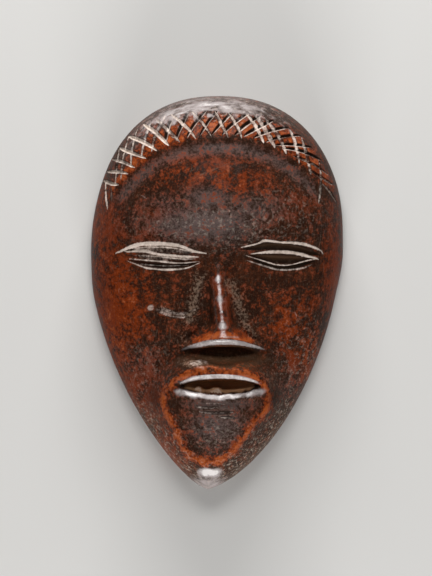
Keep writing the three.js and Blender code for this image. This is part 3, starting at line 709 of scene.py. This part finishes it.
print(f"dust: {dust.mean():.2f} on average, red {red.mean():.2f}, grey {painted_sheen.mean():.2f}")

# %% [markdown]
# The rings are joined by triangles, and the skin is closed with a fan at each end. That gives over a
# million triangles, so Blender's Decimate then keeps the ones that carry the form. The fields of finish
# are stored on the points as named attributes, which the material reads. A vertex group tells Decimate
# where these change quickly, so that a thin pale line or a small painted highlight isn't lost on a plain
# place.

# %% Build the mesh
TRIANGLES_KEPT = 190_000
MARK_STEP = 0.25
MARK_WORTH = 1e-5
EDGE_RINGS = 8


def skin_faces(rings):
    ring_index, spoke = np.meshgrid(np.arange(rings - 1), np.arange(spokes), indexing="ij")
    after = (spoke + 1) % spokes
    a = 1 + ring_index * spokes + spoke
    b = 1 + ring_index * spokes + after
    first = np.stack([a, a + spokes, b + spokes], axis=-1)
    second = np.stack([a, b + spokes, b], axis=-1)
    return np.concatenate([first, second]).reshape(-1, 3)


def build_skin():
    rings = np.concatenate([carved, back])
    count = len(rings)
    points = np.concatenate([centre[None], rings.reshape(-1, 3), [[0, CENTRE_Y * along, hollow_depth]]])
    last = len(points) - 1
    spoke = np.arange(spokes)
    first_fan = np.stack([np.zeros(spokes, int), 1 + spoke, 1 + (spoke + 1) % spokes], axis=-1)
    edge = 1 + (count - 1) * spokes
    last_fan = np.stack([edge + spoke, np.full(spokes, last), edge + (spoke + 1) % spokes], axis=-1)
    mesh = bpy.data.meshes.new("carved_mask")
    triangles = np.concatenate([skin_faces(count), first_fan, last_fan]).astype(np.int32)
    mesh.vertices.add(len(points))
    mesh.vertices.foreach_set("co", (points * MM).astype(np.float32).ravel())
    mesh.loops.add(3 * len(triangles))
    mesh.loops.foreach_set("vertex_index", triangles.ravel())
    mesh.polygons.add(len(triangles))
    mesh.polygons.foreach_set("loop_start", np.arange(0, 3 * len(triangles), 3, dtype=np.int32))
    mesh.update(calc_edges=True)
    return mesh


def add_field(mesh, name, on_face, on_back):
    values = [on_face.reshape(-1)[:1], on_face.reshape(-1), on_back.reshape(-1), on_back[-1, :1]]
    attribute = mesh.attributes.new(name, "FLOAT", "POINT")
    attribute.data.foreach_set("value", np.concatenate(values).astype(np.float32))


def change_nearby(values):
    """How much a field changes from one point to the next, across the rings and around them."""
    outwards = np.abs(np.diff(values, axis=0, append=values[-1:]))
    around = np.abs(values - np.roll(values, 1, axis=1))
    return np.maximum(outwards, around)


skin = build_skin()
nothing = np.zeros(back.shape[:2])
finish = dict(
    pale=pale, painted_shade=painted_shade, worn=worn, painted_highlight=painted_highlight, dust=dust, red=red, painted_sheen=painted_sheen, polish=polish,
    scuff=scuff, painted_fill=painted_fill,
)
on_edge = (np.arange(len(back)) < EDGE_RINGS)[:, None]
for name, values in finish.items():
    add_field(skin, name, values, nothing + values[-1] * on_edge)
add_field(skin, "bare_back", np.zeros(face.shape[:2]), nothing + ~on_edge)
mask = bpy.data.objects.new("carved_mask", skin)
bpy.context.scene.collection.objects.link(mask)
bpy.context.view_layer.objects.active = mask

worth_keeping = sum(change_nearby(finish[name]) for name in ("pale", "painted_shade", "painted_highlight"))
worth_keeping = worth_keeping + 0.5 * change_nearby(worn)
level = np.ceil(4 * np.clip(worth_keeping / MARK_STEP, 0, 1)).astype(int).reshape(-1)
marks = mask.vertex_groups.new(name="fine_marks")
for step in range(1, 5):
    marks.add((1 + np.flatnonzero(level == step)).tolist(), step / 4, "REPLACE")
thin = mask.modifiers.new("keep_the_form", "DECIMATE")
thin.ratio = TRIANGLES_KEPT / len(skin.polygons)
thin.vertex_group = marks.name
thin.vertex_group_factor = MARK_WORTH
thin.invert_vertex_group = True
with bpy.context.temp_override(object=mask):
    bpy.ops.object.modifier_apply(modifier=thin.name)
mask.vertex_groups.clear()
mask.data.polygons.foreach_set("use_smooth", np.ones(len(mask.data.polygons), bool))
mask.data.update()
print(f"carved_mask: {len(mask.data.polygons)} triangles, fields {[a.name for a in mask.data.attributes]}")

# %% [markdown]
# The finish. Effects that are used more than once are groups: patches of tone, streaks along the grain,
# fine speckle, knife-thin scratches, and a field broken up by noise. Each puts out a mask and is placed in
# a material with its own values.

# %% Small helpers for nodes
def add_node(tree, kind, inputs=None, **settings):
    node = tree.nodes.new(kind)
    for name, value in settings.items():
        setattr(node, name, value)
    for socket, value in (inputs or {}).items():
        if isinstance(value, bpy.types.NodeSocket):
            tree.links.new(value, node.inputs[socket])
        else:
            node.inputs[socket].default_value = value
    return node


def new_group(name, numbers, vector=True):
    tree = bpy.data.node_groups.new(name, "ShaderNodeTree")
    if vector:
        tree.interface.new_socket("Vector", in_out="INPUT", socket_type="NodeSocketVector")
    for label, value in numbers.items():
        socket = tree.interface.new_socket(label, in_out="INPUT", socket_type="NodeSocketFloat")
        socket.default_value = value
    tree.interface.new_socket("Mask", in_out="OUTPUT", socket_type="NodeSocketFloat")
    return tree, add_node(tree, "NodeGroupInput"), add_node(tree, "NodeGroupOutput")


def stretched(tree, vector, scale):
    return add_node(tree, "ShaderNodeMapping", {"Vector": vector, "Scale": scale}).outputs["Vector"]


def add_noise(tree, entry, vector, detail, roughness, distortion, **settings):
    inputs = {"Vector": vector, "Scale": entry.outputs["Scale"], "Detail": detail, "Roughness": roughness,
              "Distortion": distortion}
    return add_node(tree, "ShaderNodeTexNoise", inputs, **settings)


def put_out(tree, value, entry, leave):
    """Raises the contrast of a value between the group's Low and High, and puts it out as the mask."""
    inputs = {"Value": value, "From Min": entry.outputs["Low"], "From Max": entry.outputs["High"]}
    raised = add_node(tree, "ShaderNodeMapRange", inputs, interpolation_type="SMOOTHSTEP")
    tree.links.new(raised.outputs["Result"], leave.inputs["Mask"])


# %% Patches of tone
blotches, entry, leave = new_group("patches_of_tone", {"Scale": 100.0, "Low": 0.4, "High": 0.6, "Seed": 0.0})
noise = add_noise(blotches, entry, entry.outputs["Vector"], 6.0, 0.62, 0.4, noise_dimensions="4D")
blotches.links.new(entry.outputs["Seed"], noise.inputs["W"])
put_out(blotches, noise.outputs["Fac"], entry, leave)

# %% Streaks along the grain
streaks, entry, leave = new_group("streaks_along_the_grain", {"Scale": 100.0, "Low": 0.4, "High": 0.6})
long_way = stretched(streaks, entry.outputs["Vector"], (9.0, 0.8, 9.0))
noise = add_noise(streaks, entry, long_way, 5.0, 0.6, 0.2)
put_out(streaks, noise.outputs["Fac"], entry, leave)

# %% Fine speckle
speckle, entry, leave = new_group("fine_speckle", {"Scale": 1500.0, "Low": 0.55, "High": 0.7})
noise = add_noise(speckle, entry, entry.outputs["Vector"], 3.0, 0.7, 0.0)
put_out(speckle, noise.outputs["Fac"], entry, leave)

# %% Knife-thin scratches
scratches, entry, leave = new_group("thin_scratches", {"Scale": 200.0, "Thinness": 0.02, "Turn": 0.0})
turned = add_node(scratches, "ShaderNodeVectorRotate", {
    "Vector": entry.outputs["Vector"], "Angle": entry.outputs["Turn"], "Axis": (0.0, 0.0, 1.0)})
long_way = stretched(scratches, turned.outputs["Vector"], (8.0, 0.5, 8.0))
noise = add_noise(scratches, entry, long_way, 1.0, 0.4, 0.1)
off_middle = add_node(scratches, "ShaderNodeMath", {0: noise.outputs["Fac"], 1: 0.5}, operation="SUBTRACT")
distance = add_node(scratches, "ShaderNodeMath", {0: off_middle.outputs[0]}, operation="ABSOLUTE")
thin_line = add_node(scratches, "ShaderNodeMath", {0: distance.outputs[0], 1: entry.outputs["Thinness"]},
                     operation="LESS_THAN")
scratches.links.new(thin_line.outputs[0], leave.inputs["Mask"])

# %% A field broken up by noise
broken, entry, leave = new_group("broken_field", {
    "Field": 0.0, "Noise": 0.5, "Amount": 0.5, "Low": 0.3, "High": 0.7}, vector=False)
off_middle = add_node(broken, "ShaderNodeMath", {0: entry.outputs["Noise"], 1: 0.5}, operation="SUBTRACT")
shifted = add_node(broken, "ShaderNodeMath", {
    0: off_middle.outputs[0], 1: entry.outputs["Amount"], 2: entry.outputs["Field"],
}, operation="MULTIPLY_ADD")
put_out(broken, shifted.outputs[0], entry, leave)
print("node groups:", [g.name for g in bpy.data.node_groups])

# %% [markdown]
# The face material starts from a dark brown and adds red-brown in patches. Then it lays a painted grey
# sheen, orange wear, tan dust, scuffs, painted shade, painted silvery highlights, a paler brown as painted
# fill light and pale residue, partly painted highlight, over it by the fields on the points. Dust is rough,
# the handled patina shines, and a thin coat gives it a waxed gloss where hands polished it most.

# %% Material helpers
def new_material(name):
    material = bpy.data.materials.new(name)
    material.use_nodes = True
    tree = material.node_tree
    tree.nodes.clear()
    shader = add_node(tree, "ShaderNodeBsdfPrincipled")
    out = add_node(tree, "ShaderNodeOutputMaterial")
    tree.links.new(shader.outputs["BSDF"], out.inputs["Surface"])
    return material, tree, shader


def place_group(tree, group, vector=None, **values):
    node = add_node(tree, "ShaderNodeGroup", values, node_tree=group)
    if vector:
        tree.links.new(vector, node.inputs["Vector"])
    return node.outputs["Mask"]


def field(tree, name):
    node = add_node(tree, "ShaderNodeAttribute", attribute_name=name, attribute_type="GEOMETRY")
    return node.outputs["Fac"]


def math(tree, operation, first, second):
    inputs = {0: first, 1: second}
    return add_node(tree, "ShaderNodeMath", inputs, operation=operation, use_clamp=True).outputs[0]


def blend(tree, amount, under, over):
    return add_node(tree, "ShaderNodeMix", {0: amount, 6: under, 7: over}, data_type="RGBA").outputs[2]


def tint(tree, under, mask_here, share, over):
    return blend(tree, math(tree, "MULTIPLY", mask_here, share), under, over)


def add_bump(tree, shader, height, strength, distance):
    node = add_node(tree, "ShaderNodeBump", {"Strength": strength, "Distance": distance, "Height": height})
    tree.links.new(node.outputs["Normal"], shader.inputs["Normal"])


def mix_value(tree, amount, under, over):
    return add_node(tree, "ShaderNodeMix", {0: amount, 2: under, 3: over}, data_type="FLOAT").outputs[0]


def spread(tree, name, noise, amount, low, high):
    """A field from the mesh, with its edges broken up by noise."""
    return place_group(tree, broken, Field=field(tree, name), Noise=noise, Amount=amount, Low=low, High=high)


# %% The handled patina of the face
DARK_PATINA = (0.026, 0.0095, 0.005, 1)
DEEP_BROWN = (0.076, 0.022, 0.0085, 1)
RED_BROWN = (0.180, 0.027, 0.0045, 1)
BARE_ORANGE = (0.350, 0.076, 0.016, 1)
# Painted sheen: a grey.
SHEEN_GREY = (0.135, 0.102, 0.096, 1)
# Painted highlights: a silvery grey, and a near white where they are strongest.
HIGHLIGHT_GREY = (0.360, 0.310, 0.300, 1)
GLINTING = (0.740, 0.690, 0.670, 1)
SCUFFED = (0.470, 0.395, 0.325, 1)
TAN_DUST = (0.250, 0.172, 0.122, 1)
# Pale residue, partly a painted highlight.
PALE_DUST_AND_HIGHLIGHT = (0.780, 0.660, 0.580, 1)
# Painted fill light: a paler brown for places in shade.
FILL_LIGHT_BROWN = (0.500, 0.265, 0.135, 1)
# Near black, for dark grain and for painted shade.
GRAIN_AND_SHADE_BLACK = (0.012, 0.0065, 0.004, 1)
HANDLED_ROUGHNESS, POLISHED_ROUGHNESS, DUSTY_ROUGHNESS = (0.36, 0.54), 0.30, 0.85

patina, tree, shader = new_material("handled_patina")
where = add_node(tree, "ShaderNodeTexCoord").outputs["Object"]
large = place_group(tree, blotches, where, Scale=110.0, Low=0.34, High=0.66, Seed=1.0)
small = place_group(tree, blotches, where, Scale=450.0, Low=0.36, High=0.64, Seed=4.0)
tiny = place_group(tree, blotches, where, Scale=1400.0, Low=0.36, High=0.64, Seed=7.0)
grain = place_group(tree, streaks, where, Scale=130.0, Low=0.35, High=0.7)
specks = place_group(tree, speckle, where, Scale=2400.0, Low=0.55, High=0.68)
lines_up = place_group(tree, scratches, where, Scale=120.0, Thinness=0.004, Turn=0.1)
lines_over = place_group(tree, scratches, where, Scale=90.0, Thinness=0.003, Turn=1.2)
lines = math(tree, "MAXIMUM", lines_up, lines_over)
mottle = mix_value(tree, 0.45, small, tiny)
uneven = mix_value(tree, 0.7, large, mottle)
polish = field(tree, "polish")

brownness = place_group(tree, broken, Field=0.42, Noise=uneven, Amount=1.2, Low=0.1, High=0.9)
colour = blend(tree, brownness, DARK_PATINA, DEEP_BROWN)
red_here = math(tree, "MULTIPLY", field(tree, "red"), mix_value(tree, uneven, 0.2, 1.6))
redness = place_group(tree, broken, Field=red_here, Noise=mottle, Amount=0.4, Low=0.1, High=0.95)
colour = blend(tree, redness, colour, RED_BROWN)
colour = tint(tree, colour, grain, 0.3, GRAIN_AND_SHADE_BLACK)
# Painted sheen: grey laid over the brow, the valley under the hair, the crown and the chin.
sheen_here = spread(tree, "painted_sheen", mottle, 0.9, 0.1, 1.1)
colour = tint(tree, colour, sheen_here, 0.8, SHEEN_GREY)
rub_noise = mix_value(tree, polish, 1.25, 0.6)
rubbed = spread(tree, "worn", mottle, rub_noise, 0.1, 0.7)
colour = blend(tree, rubbed, colour, RED_BROWN)
bared = spread(tree, "worn", mottle, rub_noise, 0.5, 1.15)
colour = blend(tree, bared, colour, BARE_ORANGE)
dust_noise = mix_value(tree, 0.25, tiny, specks)
dusty = spread(tree, "dust", dust_noise, 1.2, 0.35, 1.25)
colour = tint(tree, colour, dusty, 0.65, TAN_DUST)
chips = place_group(tree, speckle, where, Scale=950.0, Low=0.53, High=0.62)
hairlines = place_group(tree, streaks, where, Scale=380.0, Low=0.6, High=0.78)
chips = math(tree, "MULTIPLY", chips, mix_value(tree, tiny, 0.3, 1.0))
scuffs = math(tree, "MULTIPLY", field(tree, "scuff"), math(tree, "MAXIMUM", chips, hairlines))
colour = tint(tree, colour, scuffs, 0.9, SCUFFED)
colour = tint(tree, colour, specks, 0.15, TAN_DUST)
colour = tint(tree, colour, lines, 0.25, TAN_DUST)
# Painted shade: near black in the cuts, the recess under the nose, under the lower lip and beside the mouth.
in_shade = spread(tree, "painted_shade", mottle, 0.35, 0.1, 0.95)
colour = blend(tree, in_shade, colour, GRAIN_AND_SHADE_BLACK)
# Painted highlights: silvery grey, then near white where the field is strongest.
highlighted = spread(tree, "painted_highlight", small, 0.35, 0.15, 0.9)
colour = blend(tree, highlighted, colour, HIGHLIGHT_GREY)
glinting = spread(tree, "painted_highlight", mottle, 0.5, 0.85, 1.4)
colour = blend(tree, glinting, colour, GLINTING)
pale_spread = spread(tree, "pale", mottle, 0.5, 0.15, 0.95)
# Painted fill light: a paler brown in the mouth, the recess under the nose and the right eye's cuts.
colour = blend(tree, field(tree, "painted_fill"), colour, FILL_LIGHT_BROWN)
# Pale residue: dust, and on walls and edges that face a lamp a painted highlight.
pale_colour = blend(tree, mix_value(tree, mottle, 0.4, 1.0), TAN_DUST, PALE_DUST_AND_HIGHLIGHT)
colour = blend(tree, pale_spread, colour, pale_colour)
tree.links.new(colour, shader.inputs["Base Color"])

matt = math(tree, "MAXIMUM", math(tree, "MAXIMUM", dusty, pale_spread), math(tree, "MULTIPLY", in_shade, 0.8))
roughness = mix_value(tree, mottle, *HANDLED_ROUGHNESS)
roughness = mix_value(tree, polish, roughness, POLISHED_ROUGHNESS)
roughness = mix_value(tree, matt, roughness, DUSTY_ROUGHNESS)
tree.links.new(roughness, shader.inputs["Roughness"])
glossy = math(tree, "MULTIPLY", mix_value(tree, polish, 0.04, 1.0), mix_value(tree, matt, 1.0, 0.0))
tree.links.new(glossy, shader.inputs["Coat Weight"])
shader.inputs["Coat Roughness"].default_value = 0.22
shader.inputs["Specular IOR Level"].default_value = 0.025
height = math(tree, "ADD", math(tree, "MULTIPLY", small, 0.45), math(tree, "MULTIPLY", grain, 0.2))
height = math(tree, "ADD", height, math(tree, "MULTIPLY", tiny, 0.25))
height = mix_value(tree, lines, height, 0.0)
add_bump(tree, shader, height, 0.7, 0.00014)
print(f"handled_patina: {len(tree.nodes)} nodes")

# %% [markdown]
# The back was never polished. It is dry, paler brown wood with open grain and dust in its gouge marks,
# so it gets a matt material of its own on the rim and in the hollow.

# %% The dry wood of the back
DRY_BROWN = (0.105, 0.050, 0.024, 1)
DRY_PALE = (0.21, 0.125, 0.068, 1)
DRY_DARK = (0.03, 0.015, 0.008, 1)
dry, tree, shader = new_material("dry_back_wood")
where = add_node(tree, "ShaderNodeTexCoord").outputs["Object"]
large = place_group(tree, blotches, where, Scale=60.0, Low=0.35, High=0.65, Seed=9.0)
small = place_group(tree, blotches, where, Scale=380.0, Low=0.35, High=0.7, Seed=2.0)
grain = place_group(tree, streaks, where, Scale=150.0, Low=0.35, High=0.65)
specks = place_group(tree, speckle, where, Scale=2000.0, Low=0.58, High=0.70)
colour = blend(tree, large, DRY_BROWN, DRY_PALE)
colour = tint(tree, colour, grain, 0.6, DRY_DARK)
colour = tint(tree, colour, small, 0.3, DRY_DARK)
colour = tint(tree, colour, specks, 0.3, TAN_DUST)
tree.links.new(colour, shader.inputs["Base Color"])
tree.links.new(mix_value(tree, small, 0.62, 0.85), shader.inputs["Roughness"])
height = math(tree, "ADD", math(tree, "MULTIPLY", grain, 0.6), math(tree, "MULTIPLY", small, 0.4))
add_bump(tree, shader, height, 0.6, 0.0002)
print(f"dry_back_wood: {len(tree.nodes)} nodes")

# %% [markdown]
# Decimate merges triangles across the border of the two woods. So what faces down is dry wood as well,
# which keeps the flat rim clean.

# %% Put the materials on the mask
FACING_DOWN = -0.7
mask.data.materials.append(patina)
mask.data.materials.append(dry)
is_back = np.zeros(len(mask.data.vertices), np.float32)
mask.data.attributes["bare_back"].data.foreach_get("value", is_back)
corners = np.zeros(3 * len(mask.data.polygons), np.int32)
mask.data.polygons.foreach_get("vertices", corners)
facing = np.zeros(3 * len(mask.data.polygons), np.float32)
mask.data.polygons.foreach_get("normal", facing)
faces_down = facing.reshape(-1, 3)[:, 2] < FACING_DOWN
back_faces = ((is_back[corners.reshape(-1, 3)].mean(axis=1) > 0.5) | faces_down).astype(np.int32)
mask.data.polygons.foreach_set("material_index", back_faces)
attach(mask, "root")
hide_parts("mask")
print(f"{int(back_faces.sum())} of {len(back_faces)} triangles are bare back wood")

# %% [markdown]
# The studio: a pale floor, low soft light from beyond the crown and from below the chin, as in the photo,
# where the crown and the undersides of nose and lips shine, and a high light for the brow. The camera looks
# straight down with a long lens. The standard view transform keeps the dark wood dark and its reds red.

# %% Floor, light and camera
FLOOR_SIZE, FLOOR_GAP = 6, 0.0002
bpy.ops.mesh.primitive_plane_add(size=FLOOR_SIZE, location=(0, 0, -FLOOR_GAP))
floor = bpy.context.object
floor.name = "studio_floor"
pale_floor, tree, shader = new_material("pale_floor")
shader.inputs["Base Color"].default_value = (0.66, 0.65, 0.63, 1)
shader.inputs["Roughness"].default_value = 0.95
shader.inputs["Specular IOR Level"].default_value = 0.2
floor.data.materials.append(pale_floor)
AIM_HEIGHT = 0.015


def softbox(name, place, size, power):
    light = bpy.data.lights.new(name, "AREA")
    light.shape, light.size, light.size_y = "RECTANGLE", size[0], size[1]
    light.energy = power
    lamp = bpy.data.objects.new(name, light)
    bpy.context.scene.collection.objects.link(lamp)
    lamp.location = place
    aim = -np.array(place) + np.array([0, 0, AIM_HEIGHT])
    lamp.rotation_euler = Vector(aim).to_track_quat("-Z", "Y").to_euler()


softbox("light_over_crown", (0.0, 0.60, 0.24), (0.45, 0.16), 4.6)
softbox("light_under_chin", (0.0, -0.60, 0.22), (0.40, 0.14), 3.8)
softbox("light_on_the_brow", (0.0, 0.55, 0.95), (0.42, 0.24), 4.2)
world = bpy.data.worlds.new("soft_room")
world.use_nodes = True
world.node_tree.nodes["Background"].inputs["Color"].default_value = (1, 1, 1, 1)
world.node_tree.nodes["Background"].inputs["Strength"].default_value = 0.05
bpy.context.scene.world = world
bpy.context.scene.view_settings.view_transform = "Standard"

PHOTO_WIDTH, PHOTO_HEIGHT = 432, 576
PHOTO_MASK_TOP, PHOTO_MASK_BOTTOM, PHOTO_MASK_MIDDLE = 96, 489, 217
mm_per_pixel = mask_height / (PHOTO_MASK_BOTTOM - PHOTO_MASK_TOP)
camera_data = bpy.data.cameras.new("camera")
camera = bpy.data.objects.new("camera", camera_data)
bpy.context.scene.collection.objects.link(camera)
CAMERA_DISTANCE, EDGE_PLANE = 2.0, 0.004
camera_data.lens = camera_data.sensor_width * CAMERA_DISTANCE / (PHOTO_HEIGHT * mm_per_pixel * MM)
camera_data.clip_end = 20
offset_x = (PHOTO_WIDTH / 2 - PHOTO_MASK_MIDDLE) * mm_per_pixel * MM
offset_y = ((PHOTO_MASK_TOP + PHOTO_MASK_BOTTOM) / 2 - PHOTO_HEIGHT / 2) * mm_per_pixel * MM
camera.location = (offset_x, offset_y, CAMERA_DISTANCE + EDGE_PLANE)
bpy.context.scene.camera = camera
print(f"lens {camera_data.lens:.0f} mm at {CAMERA_DISTANCE} m")
